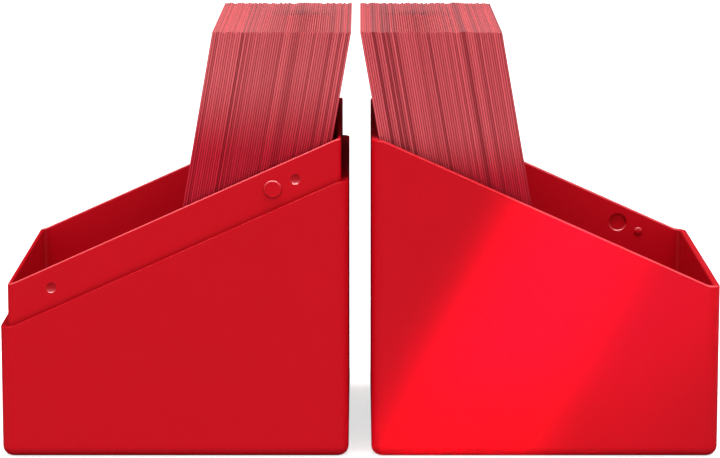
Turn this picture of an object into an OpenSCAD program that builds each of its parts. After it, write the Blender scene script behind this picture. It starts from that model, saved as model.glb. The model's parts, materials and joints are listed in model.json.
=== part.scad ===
// Slanted card deck box: a base and a cover that part along a diagonal line.
// Both halves stand open on a table, each holding one leaning deck of sleeved cards.
// +X runs from the base to the cover, -Y is the front and Z = 0 is the table.

/* [Box] */
// Width of each half, along the row
box_w = 75.2; // [72:0.1:90]
// Depth of each half, front to back
box_d = 75.2; // [72:0.1:90]
// Height of the box when it is closed
closed_h = 98; // [96:0.5:120]
// Clear gap between the two halves on the table
stand_gap = 4.9; // [3:0.1:30]
// Radius of the upright corners
corner_r = 2.7; // [2:0.1:4]
// Radius of the bottom edge
foot_r = 2.1; // [1:0.1:2.4]
// Thickness of each floor
floor_t = 2.15; // [1.6:0.05:3]

/* [Parting line] */
// Height of the base's ledge at its short side
ledge_low = 28.7; // [25:0.1:34]
// Height of the base's ledge at its tall side
ledge_high = 60.3; // [50:0.1:66]
// Level length at each end of the sloping line
level_w = 2.4; // [1:0.1:6]

/* [Collar] */
// Height of the base's collar above its ledge
collar_h = 9.2; // [6:0.1:12]
// Width of the ledge, which is also the cover's wall thickness
ledge_w = 1.5; // [1.2:0.1:2]
// Thickness of the collar's wall
collar_t = 0.95; // [0.8:0.05:1.4]
// Play all round between the collar and the closed cover
collar_play = 0.1; // [0.05:0.05:0.3]

/* [Snaps] */
// Distance of the snap line above the ledge
snap_z = 4.5; // [3:0.1:6]
// Distance of the round boss from the base's short side
boss_x = 58.9; // [40:0.1:60]
// Diameter of the boss
boss_d = 4; // [2:0.1:5]
// Height of the boss above the collar's face
boss_h = 0.35; // [0.2:0.05:0.6]
// Distance of the inner dimple from the base's short side
dimple_near_x = 63.8; // [62:0.1:68]
// Distance of the outer dimple from the base's short side
dimple_far_x = 11.1; // [8:0.1:20]
// Diameter of the dimples
dimple_d = 2.3; // [1.4:0.1:3]
// Depth of the dimples
dimple_h = 0.45; // [0.2:0.05:0.6]

/* [Cards] */
// Width of one sleeved card, front to back
card_w = 66; // [60:0.5:68]
// Height of one sleeved card, with a little for cards that stand proud
card_h = 91.3; // [85:0.1:92]
// Thickness of one sleeved card
card_t = 0.45; // [0.3:0.01:0.46]
// Lean of the decks from upright, in degrees
lean = 10; // [0:0.5:10]
// Length of the base's deck along the floor
base_deck_w = 29.7; // [28.5:0.05:34]
// Length of the cover's deck along the floor
cover_deck_w = 30.35; // [28.5:0.05:34]
// Distance of the base deck's foot from the inside of the tall wall
base_deck_foot = 12.8; // [12.5:0.1:16]
// Distance of the cover deck's foot from the inside of the tall wall
cover_deck_foot = 11.9; // [11.9:0.1:16]

/* [Hidden] */
packets = 12; // packets that each deck is counted in
packet_cards = 5; // cards in one packet
card_lift = 0.05; // clearance of the cards above the floor
fine = 32; // facets round a rounded corner
over = 1; // how far a cutting shape runs past what it cuts
cavity_in = ledge_w + collar_t; // from the base's outer face to its cavity
inner_r = corner_r - ledge_w; // radius of the upright corners inside the cover
base_x = -stand_gap / 2 - box_w; // left face of the base
cover_x = stand_gap / 2; // left face of the cover
bump_d = dimple_d - 0.3; // bumps fit the dimples with play
bump_h = dimple_h - 0.1; // bumps stop short of the dimples' ends
recess_d = boss_d + 0.3; // recesses take the bosses with play
recess_h = boss_h + 0.1; // recesses are deeper than the bosses are high

function packet_names(half) = [for (k = [1:packets]) str(half, "_cards_", k < 10 ? "0" : "", k)];
base_packets = packet_names("base");
cover_packets = packet_names("cover");

// Height of the base's parting line at a distance x from its short side
function ledge_z(x) =
    let (run = (x - level_w) / (box_w - 2 * level_w))
    ledge_low + (ledge_high - ledge_low) * min(max(run, 0), 1);

// One upright corner post of a rounded block, with its foot rounded
module post(r, foot, height) {
    rotate_extrude($fn = fine) {
        translate([0, foot]) square([r, height - foot]);
        square([r - foot, foot + over]);
        intersection() {
            translate([r - foot, foot]) circle(r = foot, $fn = fine);
            square([r, foot]);
        }
    }
}

// A rounded block standing on z, set in from the outer faces of a half
module block(inset, r, foot, z, height) {
    hull()
        for (x = [inset + r, box_w - inset - r], y = [inset + r, box_d - inset - r])
            translate([x, y - box_d / 2, z]) post(r, foot, height);
}

// All the space under the base's parting line, raised by rise
module under_line(rise) {
    translate([0, box_d / 2 + over, 0])
        rotate([90, 0, 0])
            linear_extrude(box_d + 2 * over)
                polygon([
                    [-over, -over],
                    [box_w + over, -over],
                    [box_w + over, ledge_high + rise],
                    [box_w - level_w, ledge_high + rise],
                    [level_w, ledge_low + rise],
                    [-over, ledge_low + rise]
                ]);
}

// A round stub on both long walls, centred on a wall face that is face_in from the outside
module stubs(x, z, d, depth, face_in) {
    for (side = [-1, 1])
        translate([x, side * (box_d / 2 - face_in), z])
            rotate([90, 0, 0]) cylinder(d = d, h = 2 * depth, center = true, $fn = 48);
}

module base_shell() {
    color("crimson") translate([base_x, 0, 0])
        difference() {
            union() {
                intersection() {
                    block(0, corner_r, foot_r, 0, closed_h);
                    under_line(0);
                }
                intersection() {
                    block(ledge_w + collar_play, inner_r, 0, floor_t, closed_h);
                    under_line(collar_h);
                }
                stubs(boss_x, ledge_z(boss_x) + snap_z, boss_d, boss_h, ledge_w + collar_play);
            }
            block(cavity_in, inner_r, 0, floor_t, closed_h);
            for (x = [dimple_near_x, dimple_far_x])
                stubs(x, ledge_z(x) + snap_z, dimple_d, dimple_h, ledge_w + collar_play);
        }
}

// The cover stands turned over, so its rim is the base's parting line counted from the closed height
module cover_shell() {
    color("red") translate([cover_x, 0, 0])
        difference() {
            union() {
                difference() {
                    block(0, corner_r, foot_r, 0, closed_h);
                    block(ledge_w, inner_r, 0, floor_t, closed_h);
                }
                for (x = [dimple_near_x, dimple_far_x])
                    stubs(x, closed_h - ledge_z(x) - snap_z, bump_d, bump_h, ledge_w);
            }
            translate([0, 0, closed_h]) mirror([0, 0, 1]) under_line(0);
            stubs(boss_x, closed_h - ledge_z(boss_x) - snap_z, recess_d, recess_h, ledge_w);
        }
}

// One packet of cards, each a solid of its own, leaning towards +X
module packet(k, deck_w) {
    pitch = deck_w / (packets * packet_cards);
    for (i = [0:packet_cards - 1])
        translate([
            (k * packet_cards + i) * pitch,
            -card_w / 2,
            floor_t + card_lift + card_t * sin(lean)
        ])
            rotate([0, lean, 0]) cube([card_t, card_w, card_h]);
}

// Packets are counted from the outside of the row towards its middle
module base_packet(k) {
    color("indianred")
        translate([-stand_gap / 2 - cavity_in - base_deck_foot - base_deck_w, 0, 0])
            packet(k, base_deck_w);
}

module cover_packet(k) {
    color("indianred") mirror([1, 0, 0])
        translate([-stand_gap / 2 - ledge_w - cover_deck_foot - cover_deck_w, 0, 0])
            packet(k, cover_deck_w);
}

base_shell();
cover_shell();
for (k = [0:packets - 1])
    base_packet(k);
for (k = [0:packets - 1])
    cover_packet(k);
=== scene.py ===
import json
import math
import random

import bmesh
import bpy
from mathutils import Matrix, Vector


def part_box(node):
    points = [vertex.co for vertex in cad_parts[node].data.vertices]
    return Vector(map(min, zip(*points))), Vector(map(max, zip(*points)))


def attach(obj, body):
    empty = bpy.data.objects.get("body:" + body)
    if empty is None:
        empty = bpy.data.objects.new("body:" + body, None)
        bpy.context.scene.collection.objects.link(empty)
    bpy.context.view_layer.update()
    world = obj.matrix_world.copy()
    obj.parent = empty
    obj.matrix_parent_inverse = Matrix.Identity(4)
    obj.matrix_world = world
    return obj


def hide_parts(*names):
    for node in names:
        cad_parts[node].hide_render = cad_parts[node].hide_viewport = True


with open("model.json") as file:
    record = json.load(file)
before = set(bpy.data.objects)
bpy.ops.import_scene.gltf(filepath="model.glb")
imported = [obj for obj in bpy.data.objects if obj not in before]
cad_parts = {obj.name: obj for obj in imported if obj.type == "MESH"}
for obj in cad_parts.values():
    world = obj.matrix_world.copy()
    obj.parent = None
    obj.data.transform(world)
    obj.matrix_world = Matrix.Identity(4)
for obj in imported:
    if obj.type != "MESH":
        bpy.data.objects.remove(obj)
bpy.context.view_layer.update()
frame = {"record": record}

mm = 0.001


# Edit-mode helpers: operators act on what is selected, so each one selects by place first.

def makeOnly(piece):
    bpy.ops.object.select_all(action="DESELECT")
    piece.select_set(True)
    bpy.context.view_layer.objects.active = piece


def startEdit(piece, mode="EDGE"):
    makeOnly(piece)
    bpy.ops.object.mode_set(mode="EDIT")
    bpy.ops.mesh.select_mode(type=mode)
    bpy.ops.mesh.select_all(action="DESELECT")


def stopEdit():
    bpy.ops.object.mode_set(mode="OBJECT")


def pickEdges(piece, wanted):
    mesh = bmesh.from_edit_mesh(piece.data)
    for edge in mesh.edges:
        edge.select_set(False)
    for edge in mesh.edges:
        if wanted(edge):
            edge.select_set(True)
    bmesh.update_edit_mesh(piece.data)


def pickFaces(piece, wanted):
    mesh = bmesh.from_edit_mesh(piece.data)
    for face in mesh.faces:
        face.select_set(False)
    for face in mesh.faces:
        if wanted(face):
            face.select_set(True)
    bmesh.update_edit_mesh(piece.data)


def runsAlong(edge, axis):
    a, b = (v.co for v in edge.verts)
    return (b - a).normalized()[axis] ** 2 > 0.999


def liesAt(item, axis, value):
    return all(abs(v.co[axis] - value) < 1e-6 for v in item.verts)


def applyModifier(piece, kind, **settings):
    makeOnly(piece)
    modifier = piece.modifiers.new(kind.lower(), kind)
    for name, value in settings.items():
        setattr(modifier, name, value)
    bpy.ops.object.modifier_apply(modifier=modifier.name)


def combine(piece, tool, operation):
    applyModifier(piece, "BOOLEAN", operation=operation, solver="EXACT", object=tool)
    bpy.data.objects.remove(tool)


def placeInMesh(piece):
    makeOnly(piece)
    bpy.ops.object.transform_apply(location=True, rotation=True, scale=True)


def smooth(piece, angle=28):
    makeOnly(piece)
    bpy.ops.object.shade_smooth_by_angle(angle=math.radians(angle))
    applyModifier(piece, "WEIGHTED_NORMAL", keep_sharp=True, weight=80)


# Camera

cameraLook = {
    "place": (0, -694.6 * mm, 161.1 * mm),
    "tiltDown": 9.58,  # degrees
    "lens": 155.5,
}


def makeCamera():
    bpy.ops.object.camera_add(location=cameraLook["place"])
    camera = bpy.context.object
    camera.rotation_euler = (math.radians(90 - cameraLook["tiltDown"]), 0, 0)
    camera.data.lens = cameraLook["lens"]
    camera.data.sensor_width = 36
    camera.data.clip_start = 0.01
    bpy.context.scene.camera = camera


makeCamera()
print("camera placed")


# Node helpers and shared effects

def addNode(tree, kind, inputs=None, **settings):
    node = tree.nodes.new(kind)
    for name, value in settings.items():
        setattr(node, name, value)
    for name, value in (inputs or {}).items():
        node.inputs[name].default_value = value
    return node


def newGroup(name, inputs, outputs):
    group = bpy.data.node_groups.new(name, "ShaderNodeTree")
    for label, kind, value in inputs:
        socket = group.interface.new_socket(name=label, in_out="INPUT", socket_type=kind)
        if value is not None:
            socket.default_value = value
    for label, kind in outputs:
        group.interface.new_socket(name=label, in_out="OUTPUT", socket_type=kind)
    return group, group.nodes.new("NodeGroupInput"), group.nodes.new("NodeGroupOutput")


def makeMouldGrain():
    # Fine texture of a moulded surface: a bump height and a slow unevenness of shine.
    group, given, out = newGroup(
        "mouldGrain",
        [("Position", "NodeSocketVector", None), ("Grain Scale", "NodeSocketFloat", 3000),
         ("Wave Scale", "NodeSocketFloat", 60)],
        [("Height", "NodeSocketFloat"), ("Unevenness", "NodeSocketFloat")])
    grain = addNode(group, "ShaderNodeTexNoise", {"Detail": 3, "Roughness": 0.6})
    wave = addNode(group, "ShaderNodeTexNoise", {"Detail": 2, "Roughness": 0.5})
    blend = addNode(group, "ShaderNodeMath", {1: 0.35}, operation="MULTIPLY_ADD")
    group.links.new(given.outputs["Position"], grain.inputs["Vector"])
    group.links.new(given.outputs["Position"], wave.inputs["Vector"])
    group.links.new(given.outputs["Grain Scale"], grain.inputs["Scale"])
    group.links.new(given.outputs["Wave Scale"], wave.inputs["Scale"])
    group.links.new(grain.outputs["Fac"], blend.inputs[0])
    group.links.new(wave.outputs["Fac"], blend.inputs[2])
    group.links.new(blend.outputs[0], out.inputs["Height"])
    group.links.new(wave.outputs["Fac"], out.inputs["Unevenness"])
    return group


def makeEdgeHighlight():
    # Painted highlight on a marked edge: the mark itself, broken up a little along its length
    group, given, out = newGroup(
        "edgeHighlight",
        [("Position", "NodeSocketVector", None), ("Mark", "NodeSocketFloat", 0),
         ("Patch Scale", "NodeSocketFloat", 140), ("Evenness", "NodeSocketFloat", 0.7)],
        [("Mask", "NodeSocketFloat")])
    patch = addNode(group, "ShaderNodeTexNoise", {"Detail": 4, "Roughness": 0.65})
    patchy = addNode(group, "ShaderNodeMapRange", {"From Min": 0.35, "From Max": 0.6, "To Max": 1})
    both = addNode(group, "ShaderNodeMath", operation="MULTIPLY")
    group.links.new(given.outputs["Evenness"], patchy.inputs["To Min"])
    group.links.new(given.outputs["Position"], patch.inputs["Vector"])
    group.links.new(given.outputs["Patch Scale"], patch.inputs["Scale"])
    group.links.new(patch.outputs["Fac"], patchy.inputs["Value"])
    group.links.new(given.outputs["Mark"], both.inputs[0])
    group.links.new(patchy.outputs["Result"], both.inputs[1])
    group.links.new(both.outputs[0], out.inputs["Mask"])
    return group


mouldGrain = makeMouldGrain()
edgeHighlight = makeEdgeHighlight()


def newMaterial(name):
    material = bpy.data.materials.new(name)
    material.use_nodes = True
    tree = material.node_tree
    return material, tree, tree.nodes["Principled BSDF"]


def useGroup(tree, group, position, **values):
    node = addNode(tree, "ShaderNodeGroup", node_tree=group)
    tree.links.new(position, node.inputs["Position"])
    for name, value in values.items():
        node.inputs[name.replace("_", " ")].default_value = value
    return node


def mixColours(tree, factor, first, second):
    mix = addNode(tree, "ShaderNodeMix", data_type="RGBA")
    for socket, value in ((mix.inputs[0], factor), (mix.inputs[6], first), (mix.inputs[7], second)):
        if isinstance(value, bpy.types.NodeSocket):
            tree.links.new(value, socket)
        else:
            socket.default_value = value
    return mix.outputs[2]


redPlastic = {
    "body": (0.59, 0.003, 0.0115, 1),
    "shade": (0.57, 0.0025, 0.0105, 1),
    # painted highlight: the paler colour given to rims and snap edges
    "highlightColour": (0.68, 0.09, 0.105, 1),
    "creviceShade": (0.24, 0.0004, 0.003, 1),  # painted shade: tight corners and creases darken towards this colour
    "creviceReach": 1.5 * mm,
    "roughness": 0.3,
    "specular": 0.15,
    "roughnessPlay": (-0.04, 0.06),
    "polish": 0.2,  # roughness of the polished snaps' shine
    "grain": 0.00002,
}


def makeRedPlastic():
    material, tree, shader = newMaterial("mouldedRed")
    position = addNode(tree, "ShaderNodeTexCoord").outputs["Object"]
    grain = useGroup(tree, mouldGrain, position)
    # Painted highlight: marked rims, snap edges and corners turn paler towards the highlight colour
    highlightMask = useGroup(tree, edgeHighlight, position)
    highlightMark = addNode(tree, "ShaderNodeAttribute", attribute_name="highlightMark")
    tree.links.new(highlightMark.outputs["Fac"], highlightMask.inputs["Mark"])
    tone = mixColours(tree, grain.outputs["Unevenness"], redPlastic["body"], redPlastic["shade"])
    highlighted = mixColours(tree, highlightMask.outputs["Mask"], tone, redPlastic["highlightColour"])
    # Painted shade: the colour darkens towards the crevice colour where AO finds surfaces close by
    # and where the shade mark is set
    openness = addNode(tree, "ShaderNodeAmbientOcclusion",
                       {"Distance": redPlastic["creviceReach"]}, samples=8, only_local=True)
    paintedShade = addNode(tree, "ShaderNodeAttribute", attribute_name="paintedShade")
    lit = addNode(tree, "ShaderNodeMath", operation="SUBTRACT", use_clamp=True)
    tree.links.new(openness.outputs["AO"], lit.inputs[0])
    tree.links.new(paintedShade.outputs["Fac"], lit.inputs[1])
    tree.links.new(mixColours(tree, lit.outputs[0], redPlastic["creviceShade"], highlighted),
                   shader.inputs["Base Color"])
    smoothest, roughest = (redPlastic["roughness"] + play for play in redPlastic["roughnessPlay"])
    shine = addNode(tree, "ShaderNodeMapRange", {"To Min": smoothest, "To Max": roughest})
    tree.links.new(grain.outputs["Unevenness"], shine.inputs["Value"])
    tree.links.new(shine.outputs["Result"], shader.inputs["Roughness"])
    bump = addNode(tree, "ShaderNodeBump", {"Strength": 0.25, "Distance": redPlastic["grain"]})
    tree.links.new(grain.outputs["Height"], bump.inputs["Height"])
    tree.links.new(bump.outputs["Normal"], shader.inputs["Normal"])
    polished = addNode(tree, "ShaderNodeAttribute", attribute_name="polished")
    tree.links.new(polished.outputs["Fac"], shader.inputs["Coat Weight"])
    shader.inputs["Coat Roughness"].default_value = redPlastic["polish"]
    shader.inputs["Specular IOR Level"].default_value = redPlastic["specular"]
    return material


sleeveFilm = {
    "darkToneAndShade": (0.2, 0.008, 0.016, 1),  # edges that sit back in the deck, darkened as painted shade, and a random darker tone
    "grooveShade": (0.16, 0.006, 0.012, 1),  # painted shade in the grooves between two sleeves
    "grooveShadeDepth": 0.9,
    "glow": (0.2, 0.1, 0.105, 1),  # painted light: the film glows at the open end, standing in for light that comes through the film
    "glowFrom": 88.6 * mm,
    "glowTo": 90.6 * mm,
}
deckLooks = {
    # Painted light and shade: mouth is the lighter colour near the open ends, where light comes
    # through the film, deep the darker colour lower down in the box, and fade the heights between
    # which one turns into the other
    "base": {"mouth": (0.8, 0.14, 0.158, 1), "deep": (0.6, 0.014, 0.034, 1),
             "fade": (64.5 * mm, 84 * mm), "turn": 1, "seed": 11,
             "unevenness": 0.3, "oddOnes": (0.3, 0.5)},
    "cover": {"mouth": (0.78, 0.118, 0.14, 1), "deep": (0.6, 0.014, 0.034, 1),
              "fade": (58.5 * mm, 71.5 * mm), "turn": -1, "seed": 23,
              "unevenness": 0.45, "oddOnes": (0.45, 0.75)},
}


def makeSleeveFilm(half):
    look = deckLooks[half]
    material, tree, shader = newMaterial("sleeveFilm_" + half)
    position = addNode(tree, "ShaderNodeTexCoord").outputs["Object"]
    place = addNode(tree, "ShaderNodeSeparateXYZ")
    tree.links.new(position, place.inputs[0])
    fade = addNode(tree, "ShaderNodeMapRange", {
        "From Min": look["fade"][0], "From Max": look["fade"][1]},
        interpolation_type="SMOOTHSTEP")
    tree.links.new(place.outputs["Z"], fade.inputs["Value"])
    tone = addNode(tree, "ShaderNodeAttribute", attribute_name="tone")
    grooveShade = addNode(tree, "ShaderNodeAttribute", attribute_name="grooveShade")
    groove = addNode(tree, "ShaderNodeMath", {1: sleeveFilm["grooveShadeDepth"]}, operation="MULTIPLY")
    tree.links.new(grooveShade.outputs["Fac"], groove.inputs[0])
    # Painted light and shade: lighter near the open ends, darker lower down
    edge = mixColours(tree, fade.outputs["Result"], look["deep"], look["mouth"])
    toned = mixColours(tree, tone.outputs["Fac"], edge, sleeveFilm["darkToneAndShade"])
    tree.links.new(mixColours(tree, groove.outputs[0], toned, sleeveFilm["grooveShade"]),
                   shader.inputs["Base Color"])
    grain = useGroup(tree, mouldGrain, position, Grain_Scale=5200)
    bump = addNode(tree, "ShaderNodeBump", {"Strength": 0.3, "Distance": 0.01 * mm})
    tree.links.new(grain.outputs["Height"], bump.inputs["Height"])
    tree.links.new(bump.outputs["Normal"], shader.inputs["Normal"])
    # Painted light: the film near the open end glows
    glow = addNode(tree, "ShaderNodeMapRange", {
        "From Min": sleeveFilm["glowFrom"], "From Max": sleeveFilm["glowTo"]})
    tree.links.new(place.outputs["Z"], glow.inputs["Value"])
    mouth = addNode(tree, "ShaderNodeAttribute", attribute_name="mouth")
    inMouth = addNode(tree, "ShaderNodeMath", operation="MULTIPLY")
    tree.links.new(glow.outputs["Result"], inMouth.inputs[0])
    tree.links.new(mouth.outputs["Fac"], inMouth.inputs[1])
    lit = mixColours(tree, inMouth.outputs[0], (0, 0, 0, 1), sleeveFilm["glow"])
    tree.links.new(lit, shader.inputs["Emission Color"])
    shader.inputs["Emission Strength"].default_value = 1
    shader.inputs["Roughness"].default_value = 0.5
    shader.inputs["Specular IOR Level"].default_value = 0.1
    return material


cardStock = {"edge": (0.5, 0.06, 0.07, 1), "fibre": (0.62, 0.11, 0.12, 1)}


def makeCardStock():
    material, tree, shader = newMaterial("cardStock")
    position = addNode(tree, "ShaderNodeTexCoord").outputs["Object"]
    grain = useGroup(tree, mouldGrain, position, Grain_Scale=2600)
    colour = mixColours(tree, grain.outputs["Height"], cardStock["edge"], cardStock["fibre"])
    tree.links.new(colour, shader.inputs["Base Color"])
    bump = addNode(tree, "ShaderNodeBump", {"Strength": 0.4, "Distance": 0.02 * mm})
    tree.links.new(grain.outputs["Height"], bump.inputs["Height"])
    tree.links.new(bump.outputs["Normal"], shader.inputs["Normal"])
    # Painted light: the card stock glows a little in its own colour, brightening the card tops down
    # in the sleeves
    tree.links.new(colour, shader.inputs["Emission Color"])
    shader.inputs["Emission Strength"].default_value = 0.25
    shader.inputs["Roughness"].default_value = 0.8
    shader.inputs["Specular IOR Level"].default_value = 0.1
    return material


mouldedRed = makeRedPlastic()
films = {half: makeSleeveFilm(half) for half in deckLooks}
stockMaterial = makeCardStock()
print("materials made")


# The two shells. A shell is modelled with level tops first; then its top edges are
# raised and lowered to the slanted parting line.

shellSizes = {
    "cornerRadius": 2.7 * mm,
    "innerRadius": 1.2 * mm,
    "footRadius": 2.1 * mm,
    "wellRadius": 1.0 * mm,  # fillet round the inside of the floor
    "floor": 2.15 * mm,
    "ledge": 1.5 * mm,
    "collarWall": 0.95 * mm,
    "collarPlay": 0.1 * mm,
    "collarHeight": 9.2 * mm,
    "ledgeLow": 28.7 * mm,
    "levelEnd": 2.4 * mm,  # level length at each end of the parting line
    "lineBlend": 1.0 * mm,  # half the length over which level turns into slope
    "slopeParts": 24,
    "rim": 0.4 * mm,  # rounding of the cover's rim
    "collarRim": 0.36 * mm,
    "coverHighlightFrom": 29 * mm,  # the painted highlight on the cover's rim runs from here towards its short side
    "highlightFade": 9 * mm,
    "ledgeRim": 0.12 * mm,  # crisper rounding of the ledge's outer edge
}
baseLow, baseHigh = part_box("base_shell")
coverLow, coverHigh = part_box("cover_shell")
boxWidth = baseHigh[0] - baseLow[0]
ledgeHigh = baseHigh[2] - shellSizes["collarHeight"]
closedHeight = coverHigh[2] + shellSizes["ledgeLow"]
flatLedge = 80 * mm  # heights of the level tops, before they are slanted
flatCollar = 90 * mm


def easedRise(distance):
    # 0 before the bend, the distance itself after it, and a smooth curve through the bend
    bend = shellSizes["lineBlend"]
    if distance < -bend:
        return 0
    if distance > bend:
        return distance
    return (distance + bend) ** 2 / (4 * bend)


def ledgeHeight(along):
    # Height of the base's parting line at a distance from its short side
    start = shellSizes["levelEnd"]
    stop = boxWidth - start
    slope = (ledgeHigh - shellSizes["ledgeLow"]) / (stop - start)
    return shellSizes["ledgeLow"] + slope * (easedRise(along - start) - easedRise(along - stop))


def addBlock(low, high, cornerRadius, footRadius):
    centre = (Vector(low) + Vector(high)) / 2
    size = Vector(high) - Vector(low)
    bpy.ops.mesh.primitive_cube_add(size=1, location=centre, scale=size)
    block = bpy.context.object
    placeInMesh(block)
    startEdit(block)
    pickEdges(block, lambda edge: runsAlong(edge, 2))
    bpy.ops.mesh.bevel(offset=cornerRadius, offset_type="OFFSET", segments=8, profile=0.5)
    pickEdges(block, lambda edge: liesAt(edge, 2, low[2]))
    bpy.ops.mesh.bevel(offset=footRadius, offset_type="OFFSET", segments=6, profile=0.5)
    stopEdit()
    return block


def inset(low, high, by, bottom, top):
    return (low[0] + by, low[1] + by, bottom), (high[0] - by, high[1] - by, top)


def cutAcross(piece, places):
    startEdit(piece)
    for place in places:
        bpy.ops.mesh.select_all(action="SELECT")
        bpy.ops.mesh.bisect(plane_co=(place, 0, 0), plane_no=(1, 0, 0), threshold=1e-7)
    stopEdit()


def crossPlaces():
    # Close together where the line bends, and every few millimetres between
    start = shellSizes["levelEnd"]
    steps = [shellSizes["lineBlend"] * k / 2 for k in (-2, -1, 0, 1, 2)]
    count = shellSizes["slopeParts"]
    between = [start + (boxWidth - 2 * start) * k / count for k in range(1, count)]
    return ([start + step for step in steps] + between
            + [boxWidth - start + step for step in steps])


def clearEndRims(piece, height):
    # Takes out the cut lines that run along the two level rims, where the rounding goes
    startEdit(piece)
    pickEdges(piece, lambda edge: (
        runsAlong(edge, 1) and edge.calc_length() > 10 * mm
        and edge.calc_face_angle(0) < math.radians(20)
        and all(abs(v.co.z - height(v.co.x)) < 1e-6 for v in edge.verts)))
    bpy.ops.mesh.dissolve_edges(use_verts=False)
    stopEdit()


def roundEdges(piece, width, height):
    # Rounds the outward edges that run along a line whose height is given at each x
    startEdit(piece)
    pickEdges(piece, lambda edge: (
        edge.is_convex and edge.calc_face_angle(0) > math.radians(40)
        and all(abs(v.co.z - height(v.co.x)) < 1e-6 for v in edge.verts)))
    bpy.ops.mesh.bevel(offset=width, offset_type="OFFSET", segments=4, profile=0.5,
                       miter_outer="ARC")
    stopEdit()


def addStub(place, side, radius, height):
    # A short round plug along Y: height beyond the wall's face on one side, plugBack behind it
    centre = Vector(place) + Vector((0, side * (height - snaps["plugBack"]) / 2, 0))
    bpy.ops.mesh.primitive_cylinder_add(vertices=48, radius=radius,
                                        depth=height + snaps["plugBack"],
                                        location=centre, rotation=(math.pi / 2, 0, 0))
    stub = bpy.context.object
    placeInMesh(stub)
    startEdit(stub)
    pickEdges(stub, lambda edge: not runsAlong(edge, 1))
    bpy.ops.mesh.bevel(offset=snaps["plugRounding"], segments=5, profile=0.5)
    stopEdit()
    return stub


def addBall(centre, radii):
    bpy.ops.mesh.primitive_uv_sphere_add(segments=40, ring_count=40, radius=1,
                                         location=centre, scale=radii)
    ball = bpy.context.object
    placeInMesh(ball)
    return ball


snaps = {
    "above": 4.5 * mm,  # height of the snap line over the ledge
    "boss": 58.9 * mm,  # distances from the base's short side
    "dimples": (63.8 * mm, 11.1 * mm),
    "bossRadius": 2 * mm,
    "bossHeight": 0.35 * mm,
    "plugBack": 0.8 * mm,
    "plugRounding": 0.42 * mm,
    "dimpleBall": 1.7 * mm,  # radius of the ball that dents the wall
    "dimpleDepth": 0.45 * mm,
    "bumpRadius": 1.0 * mm,
    "bumpHeight": 0.35 * mm,
    "recessRadius": 2.15 * mm,
    "recessDepth": 0.45 * mm,
}


# Where the shells get painted highlights (rims, snaps, the well's corners) and painted shade (ledge,
# the snaps' lower sides, foot), and how strongly
markRules = {
    "rimDepth": 0.6 * mm,  # faces this near the rim's height belong to the rim
    "rimFacing": (0.3, 0.35),  # least part of a long rim face's normal along Y and Z
    "topFacing": 0.7,  # least part along Z of the flat top of a rim
    "shortRim": 0.12,  # painted highlight on the flat rims of the cover
    "smallFace": 0.4 * mm * mm,
    "snapReach": 2.6 * mm,
    "snapLit": (2.5, 0.1),  # slope and start of the painted highlight over the normal's part along Z
    "snapShade": 1.1,
    "cornerFacing": 0.3,
    "corner": 0.15,
    "ledgeDepth": 0.3 * mm,
    "ledgeFacing": 0.2,
    "ledge": 0.3,
    "footFacing": 0.1,
    "foot": 0.75,
}


def clamped(value):
    return min(1, max(0, value))


def markFaces(shell, middle, highlightFrom, rimAt, ledgeAt, centres):
    # The highlight mark: a painted highlight on rounded edges that face up and outwards,
    # a little on the well's upright corners
    # The shade mark: painted shade on the ledge under the collar and on faces that look down
    # polished: the snaps, which click past each other
    rules = markRules
    names = ("highlightMark", "paintedShade", "polished")
    for name in names:
        shell.data.attributes.new(name, "FLOAT", "FACE")
    highlightMark, paintedShade, polished = (shell.data.attributes[name].data for name in names)
    for face in shell.data.polygons:
        place, facing, at = face.center, face.normal, face.index
        if abs(place.z - rimAt(place.x)) < rules["rimDepth"]:
            if abs(facing.y) > rules["rimFacing"][0] and facing.z > rules["rimFacing"][1]:
                highlightMark[at].value = clamped((place.x - highlightFrom) / shellSizes["highlightFade"])
            elif facing.z > rules["topFacing"] and place.x > 0:
                highlightMark[at].value = rules["shortRim"]
        elif face.area < rules["smallFace"]:
            if any(math.hypot(place.x - x, place.z - z) < rules["snapReach"] for x, z in centres):
                slope, start = rules["snapLit"]
                highlightMark[at].value = clamped(slope * (facing.z - start))
                paintedShade[at].value = max(0, -rules["snapShade"] * facing.z)
                polished[at].value = 1
        elif (min(abs(facing.x), abs(facing.y)) > rules["cornerFacing"]
              and facing.x * (middle - place.x) > 0):
            highlightMark[at].value = rules["corner"]
        if (ledgeAt and facing.z > rules["ledgeFacing"]
                and abs(place.z - ledgeAt(place.x)) < rules["ledgeDepth"]):
            paintedShade[at].value = rules["ledge"]
        elif facing.z < -rules["footFacing"] and place.z < shellSizes["footRadius"]:
            paintedShade[at].value = -rules["foot"] * facing.z


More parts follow.
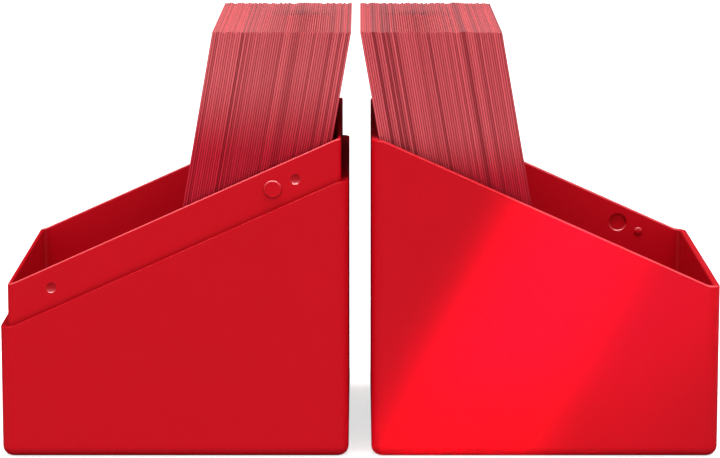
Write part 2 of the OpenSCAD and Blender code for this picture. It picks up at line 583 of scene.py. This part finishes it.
def makeBaseShell():
    sizes = shellSizes
    collarIn = sizes["ledge"] + sizes["collarPlay"]
    wellIn = sizes["ledge"] + sizes["collarWall"]
    shell = addBlock(baseLow, (baseHigh[0], baseHigh[1], flatLedge),
                     sizes["cornerRadius"], sizes["footRadius"])
    collar = addBlock(*inset(baseLow, baseHigh, collarIn, sizes["floor"] / 2, flatCollar),
                      sizes["innerRadius"], sizes["wellRadius"] / 2)
    well = addBlock(*inset(baseLow, baseHigh, wellIn, sizes["floor"], flatCollar + 10 * mm),
                    sizes["innerRadius"], sizes["wellRadius"])
    combine(shell, collar, "UNION")
    combine(shell, well, "DIFFERENCE")
    cutAcross(shell, [baseLow[0] + place for place in crossPlaces()])

    def ledgeAt(x):
        return ledgeHeight(x - baseLow[0])

    def rimAt(x):
        return ledgeHeight(x - baseLow[0]) + sizes["collarHeight"]

    for vertex in shell.data.vertices:
        if abs(vertex.co.z - flatLedge) < 1e-6:
            vertex.co.z = ledgeAt(vertex.co.x)
        elif abs(vertex.co.z - flatCollar) < 1e-6:
            vertex.co.z = rimAt(vertex.co.x)
    roundEdges(shell, sizes["ledgeRim"], ledgeAt)
    clearEndRims(shell, rimAt)
    roundEdges(shell, sizes["collarRim"], rimAt)
    for side, wall in ((-1, baseLow[1] + collarIn), (1, baseHigh[1] - collarIn)):
        place = (baseLow[0] + snaps["boss"], wall, ledgeHeight(snaps["boss"]) + snaps["above"])
        combine(shell, addStub(place, side, snaps["bossRadius"], snaps["bossHeight"]), "UNION")
        for along in snaps["dimples"]:
            place = (baseLow[0] + along, wall + side * (snaps["dimpleBall"] - snaps["dimpleDepth"]),
                     ledgeHeight(along) + snaps["above"])
            combine(shell, addBall(place, [snaps["dimpleBall"]] * 3), "DIFFERENCE")
    markFaces(shell, (baseLow[0] + baseHigh[0]) / 2, 2 * baseLow[0], rimAt, ledgeAt, [
        (baseLow[0] + along, ledgeHeight(along) + snaps["above"])
        for along in (snaps["boss"], *snaps["dimples"])])
    return shell


def makeCoverShell():
    sizes = shellSizes
    shell = addBlock(coverLow, (coverHigh[0], coverHigh[1], flatLedge),
                     sizes["cornerRadius"], sizes["footRadius"])
    well = addBlock(*inset(coverLow, coverHigh, sizes["ledge"], sizes["floor"], flatCollar),
                    sizes["innerRadius"], sizes["wellRadius"])
    combine(shell, well, "DIFFERENCE")
    cutAcross(shell, [coverLow[0] + place for place in crossPlaces()])

    def rimAt(x):
        return closedHeight - ledgeHeight(x - coverLow[0])

    for vertex in shell.data.vertices:
        if abs(vertex.co.z - flatLedge) < 1e-6:
            vertex.co.z = rimAt(vertex.co.x)
    clearEndRims(shell, rimAt)
    roundEdges(shell, sizes["rim"], rimAt)
    for side, wall in ((-1, coverLow[1] + sizes["ledge"]), (1, coverHigh[1] - sizes["ledge"])):
        height = closedHeight - ledgeHeight(snaps["boss"]) - snaps["above"]
        place = (coverLow[0] + snaps["boss"], wall, height)
        combine(shell, addStub(place, side, snaps["recessRadius"], snaps["recessDepth"]),
                "DIFFERENCE")
        for along in snaps["dimples"]:
            height = closedHeight - ledgeHeight(along) - snaps["above"]
            place = (coverLow[0] + along, wall, height)
            radii = (snaps["bumpRadius"], snaps["bumpHeight"], snaps["bumpRadius"])
            combine(shell, addBall(place, radii), "UNION")
    markFaces(shell, (coverLow[0] + coverHigh[0]) / 2, sizes["coverHighlightFrom"], rimAt, None, [
        (coverLow[0] + along, closedHeight - ledgeHeight(along) - snaps["above"])
        for along in (snaps["boss"], *snaps["dimples"])])
    return shell


def finishShell(shell, name, node, body):
    shell.name = name
    shell.data.name = name
    shell.data.materials.clear()
    shell.data.materials.append(mouldedRed)
    smooth(shell)
    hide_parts(node)
    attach(shell, body)


finishShell(makeBaseShell(), "base_moulding", "base_shell", "base")
finishShell(makeCoverShell(), "cover_moulding", "cover_shell", "cover")
print("shells made")


# The decks

cardSizes = {
    "thick": 0.45 * mm,
    "puffed": 0.483 * mm,  # a sleeve's film stands off its card, up to the next sleeve
    "squeeze": 0.002 * mm,  # how far neighbouring sleeves press into each other
    "shift": 0.06 * mm,  # a sleeve's play front to back
    "oddShare": 0.15,  # share of the sleeves that sit further back and are painted darker, as painted shade
    "oddShift": (0.1 * mm, 0.25 * mm),
    "wide": 66 * mm,
    "high": 91 * mm,
    "proud": 0.3 * mm,  # the most that a card stands above its neighbours
    "lean": math.radians(10),
    "film": 0.08 * mm,  # wall of a sleeve
    "mouth": 2.5 * mm,  # how far a card sits below its sleeve's mouth
    "sideRoom": 1.2 * mm,  # a sleeve's spare width on each side of its card
    "sideRounding": 0.2 * mm,
    "corner": 3 * mm,  # rounding of a card's corners
    "perPacket": 5,
    "smoothUpTo": math.radians(50),
}


def makeSleevePattern():
    # An upright sleeve with its front lower corner at the origin, open at the top
    size = (cardSizes["puffed"], cardSizes["wide"], cardSizes["high"])
    bpy.ops.mesh.primitive_cube_add(size=1, location=(size[0] / 2, 0, size[2] / 2), scale=size)
    sleeve = bpy.context.object
    placeInMesh(sleeve)
    startEdit(sleeve)
    pickEdges(sleeve, lambda edge: runsAlong(edge, 2))
    bpy.ops.mesh.bevel(offset=cardSizes["sideRounding"], segments=3, profile=0.5)
    bpy.ops.mesh.select_mode(type="FACE")
    pickFaces(sleeve, lambda face: liesAt(face, 2, size[2]))
    bpy.ops.mesh.inset(thickness=cardSizes["film"])
    bpy.ops.mesh.extrude_region_move(
        TRANSFORM_OT_translate={"value": (0, 0, cardSizes["film"] - size[2])})
    stopEdit()
    mouth = sleeve.data.attributes.new("mouth", "FLOAT", "FACE")  # 1 on the rim and inside
    for face in sleeve.data.polygons:
        across, along = face.center.x - size[0] / 2, face.center.y
        inside = (abs(across) < size[0] / 2 - 0.9 * cardSizes["film"]
                  and abs(along) < size[1] / 2 - 0.9 * cardSizes["film"])
        mouth.data[face.index].value = float(inside or face.normal.z > 0.9)
    grooveShade = sleeve.data.attributes.new("grooveShade", "FLOAT", "POINT")  # painted shade mask, 1 deep in a groove
    for vertex in sleeve.data.vertices:
        depth = (size[1] / 2 - abs(vertex.co.y)) / cardSizes["sideRounding"]
        grooveShade.data[vertex.index].value = min(depth, 1) if depth < 1.01 else 0
    sleeve.data.materials.append(films["base"])
    sleeve.data.materials.append(stockMaterial)
    return sleeve


def makeCardPattern():
    size = (cardSizes["thick"] - 3 * cardSizes["film"],
            cardSizes["wide"] - 2 * cardSizes["sideRoom"],
            cardSizes["high"] - cardSizes["mouth"])
    middle = (cardSizes["thick"] * 0.49, 0, size[2] / 2 + 1.2 * cardSizes["film"])
    bpy.ops.mesh.primitive_cube_add(size=1, location=middle, scale=size)
    card = bpy.context.object
    placeInMesh(card)
    startEdit(card)
    pickEdges(card, lambda edge: runsAlong(edge, 0))
    bpy.ops.mesh.bevel(offset=cardSizes["corner"], segments=4, profile=0.5)
    stopEdit()
    card.data.materials.append(films["base"])
    card.data.materials.append(stockMaterial)
    for face in card.data.polygons:
        face.material_index = 1
    return card


sleevePattern = makeSleevePattern()
cardPattern = makeCardPattern()


def copyOf(pattern):
    made = pattern.copy()
    made.data = pattern.data.copy()
    bpy.context.collection.objects.link(made)
    return made


def setTone(piece, value):
    tones = piece.data.attributes.new("tone", "FLOAT", "POINT")
    tones.data.foreach_set("value", [value] * len(piece.data.vertices))


def makePacket(node, look, chance):
    # turn is 1 where the deck leans towards +X and -1 where it leans towards -X
    turn = look["turn"]
    low, high = (Vector(corner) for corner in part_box(node))
    thick, proud, lean = cardSizes["thick"], cardSizes["proud"], cardSizes["lean"]
    cardSpan = thick * math.cos(lean) + (cardSizes["high"] + proud) * math.sin(lean)
    pitch = (high.x - low.x - cardSpan) / (cardSizes["perPacket"] - 1)
    fullness = (pitch * math.cos(lean) + cardSizes["squeeze"]) / cardSizes["puffed"]
    middle = (low.y + high.y) / 2
    made = []
    for k in range(cardSizes["perPacket"]):
        foot = low.x + k * pitch if turn > 0 else high.x - k * pitch
        setBack = chance.uniform(-cardSizes["shift"], cardSizes["shift"])
        # tone darkens a sleeve: a little at random, and more for the odd sleeves, as painted shade
        # for sitting further back
        tone = chance.uniform(0, look["unevenness"])
        if chance.random() < cardSizes["oddShare"]:
            setBack += chance.uniform(*cardSizes["oddShift"])
            tone = chance.uniform(*look["oddOnes"])
        raised = chance.uniform(0, proud)
        for pattern in (sleevePattern, cardPattern):
            piece = copyOf(pattern)
            piece.scale.x = fullness
            setTone(piece, tone)
            piece.location = (foot + turn * raised * math.sin(lean), middle + setBack,
                              low.z + thick * math.sin(lean) + raised * math.cos(lean))
            piece.rotation_euler = (0, turn * lean, 0)
            if turn < 0:
                piece.rotation_euler = (0, lean, math.pi)
            made.append(piece)
    bpy.ops.object.select_all(action="DESELECT")
    for piece in made:
        piece.select_set(True)
    bpy.context.view_layer.objects.active = made[0]
    bpy.ops.object.join()
    packet = bpy.context.object
    placeInMesh(packet)
    return packet


def makeDeck(half):
    look = deckLooks[half]
    chance = random.Random(look["seed"])
    nodes = frame["record"]["behaviour"]["bodies"][half + "_deck"]
    for number, node in enumerate(sorted(nodes), 1):
        packet = makePacket(node, look, chance)
        packet.data.materials[0] = films[half]
        packet.name = f"{half}_packet_{number:02d}"
        packet.data.name = packet.name
        makeOnly(packet)
        bpy.ops.object.shade_smooth_by_angle(angle=cardSizes["smoothUpTo"])
        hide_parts(node)
        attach(packet, half + "_deck")


makeDeck("base")
makeDeck("cover")
bpy.data.objects.remove(sleevePattern)
bpy.data.objects.remove(cardPattern)
print("decks made")


# Floor, light and background

studio = {
    "sky": (1, 1, 1, 1),
    "skyLight": (0.8, 0.8, 0.8, 1),
    "floor": (0.9, 0.9, 0.9, 1),
    "floorLight": (0.92, 0.92, 0.92, 1),
    "floorBounce": (0.4, 0.4, 0.4, 1),
    "floorInGloss": (0.02, 0.02, 0.02, 1),
    "floorGlow": (0.65, 0.65, 0.65, 1),
    "strip": {"place": (0, -0.1, 0.62), "aim": (0, 0, 0.05), "width": 0.8, "height": 0.08,
              "power": 4.2},
    "fill": {"place": (0, -0.75, 0.03), "aim": (0, 0, 0.04), "width": 0.6, "height": 0.05,
             "power": 1.2},
    "glint": {"place": (0, -0.26, 0.62), "aim": (0, 0, 0.05), "width": 0.8, "height": 0.12,
              "power": 5},
    "bands": [
        {"at": (38, 34), "width": 0.030, "height": 0.12, "roll": -28, "spread": 5, "power": 0.012},
        {"at": (50, 30), "width": 0.045, "height": 0.12, "roll": -40, "spread": 9, "power": 0.0065},
    ],
    "bandOffset": (0, 0.2, 0.014),  # from each beam's lamp to where it lands
    "bandColour": (1, 0.02, 0.3),
}


def makeFloor():
    bpy.ops.mesh.primitive_plane_add(size=6, location=(0, 0, -0.02 * mm))
    floor = bpy.context.object
    floor.name = "floor"
    material, tree, shader = newMaterial("paleFloor")
    position = addNode(tree, "ShaderNodeTexCoord").outputs["Object"]
    dust = addNode(tree, "ShaderNodeTexNoise", {"Scale": 40, "Detail": 3})
    tree.links.new(position, dust.inputs["Vector"])
    seen = mixColours(tree, dust.outputs["Fac"], studio["floor"], studio["floorLight"])
    ray = addNode(tree, "ShaderNodeLightPath")  # the floor throws less light up than it shows
    bounced = mixColours(tree, ray.outputs["Is Glossy Ray"], studio["floorBounce"],
                         studio["floorInGloss"])
    tree.links.new(mixColours(tree, ray.outputs["Is Camera Ray"], bounced, seen),
                   shader.inputs["Base Color"])
    tree.links.new(mixColours(tree, ray.outputs["Is Camera Ray"], (0, 0, 0, 1), studio["floorGlow"]),
                   shader.inputs["Emission Color"])
    shader.inputs["Emission Strength"].default_value = 1
    shader.inputs["Roughness"].default_value = 0.9
    shader.inputs["Specular IOR Level"].default_value = 0
    floor.data.materials.append(material)


def makeWorld():
    world = bpy.data.worlds.new("studio")
    bpy.context.scene.world = world
    world.use_nodes = True
    tree = world.node_tree
    ray = addNode(tree, "ShaderNodeLightPath")
    tree.links.new(mixColours(tree, ray.outputs["Is Camera Ray"], studio["skyLight"], studio["sky"]),
                   tree.nodes["Background"].inputs["Color"])
    world.cycles_visibility.glossy = False  # the plastic mirrors only the lamps and the floor


def addSoftbox(name, place, aim, width, height, power, roll=0, spread=180):
    bpy.ops.object.light_add(type="AREA", location=place)
    lamp = bpy.context.object
    lamp.name = name
    direction = Vector(aim) - Vector(place)
    lamp.rotation_euler = direction.to_track_quat("-Z", "Y").to_euler()
    lamp.rotation_euler.rotate_axis("Z", math.radians(roll))
    lamp.data.shape = "RECTANGLE"
    lamp.data.size = width
    lamp.data.size_y = height
    lamp.data.energy = power
    lamp.data.spread = math.radians(spread)
    lamp.visible_camera = False
    return lamp


def addBands():
    # Slanted beams that light only the cover's front face
    lit = bpy.data.collections.new("coverFront")
    lit.objects.link(bpy.data.objects["cover_moulding"])
    for number, band in enumerate(studio["bands"], 1):
        across, up = (value * mm for value in band["at"])
        aim = Vector((across, coverLow[1], up))
        place = aim - Vector(studio["bandOffset"])
        lamp = addSoftbox(f"band_{number}", place, aim, band["width"], band["height"],
                          band["power"], roll=band["roll"], spread=band["spread"])
        lamp.data.color = studio["bandColour"]
        lamp.visible_glossy = False
        lamp.light_linking.receiver_collection = lit
        lamp.light_linking.blocker_collection = lit


makeFloor()
makeWorld()
addSoftbox("strip", **studio["strip"])
addSoftbox("fill", **studio["fill"]).visible_glossy = False
addSoftbox("glint", **studio["glint"]).visible_diffuse = False  # only for highlights
addBands()
bpy.context.scene.view_settings.view_transform = "Standard"
bpy.context.scene.view_settings.look = "None"
print("studio lit")
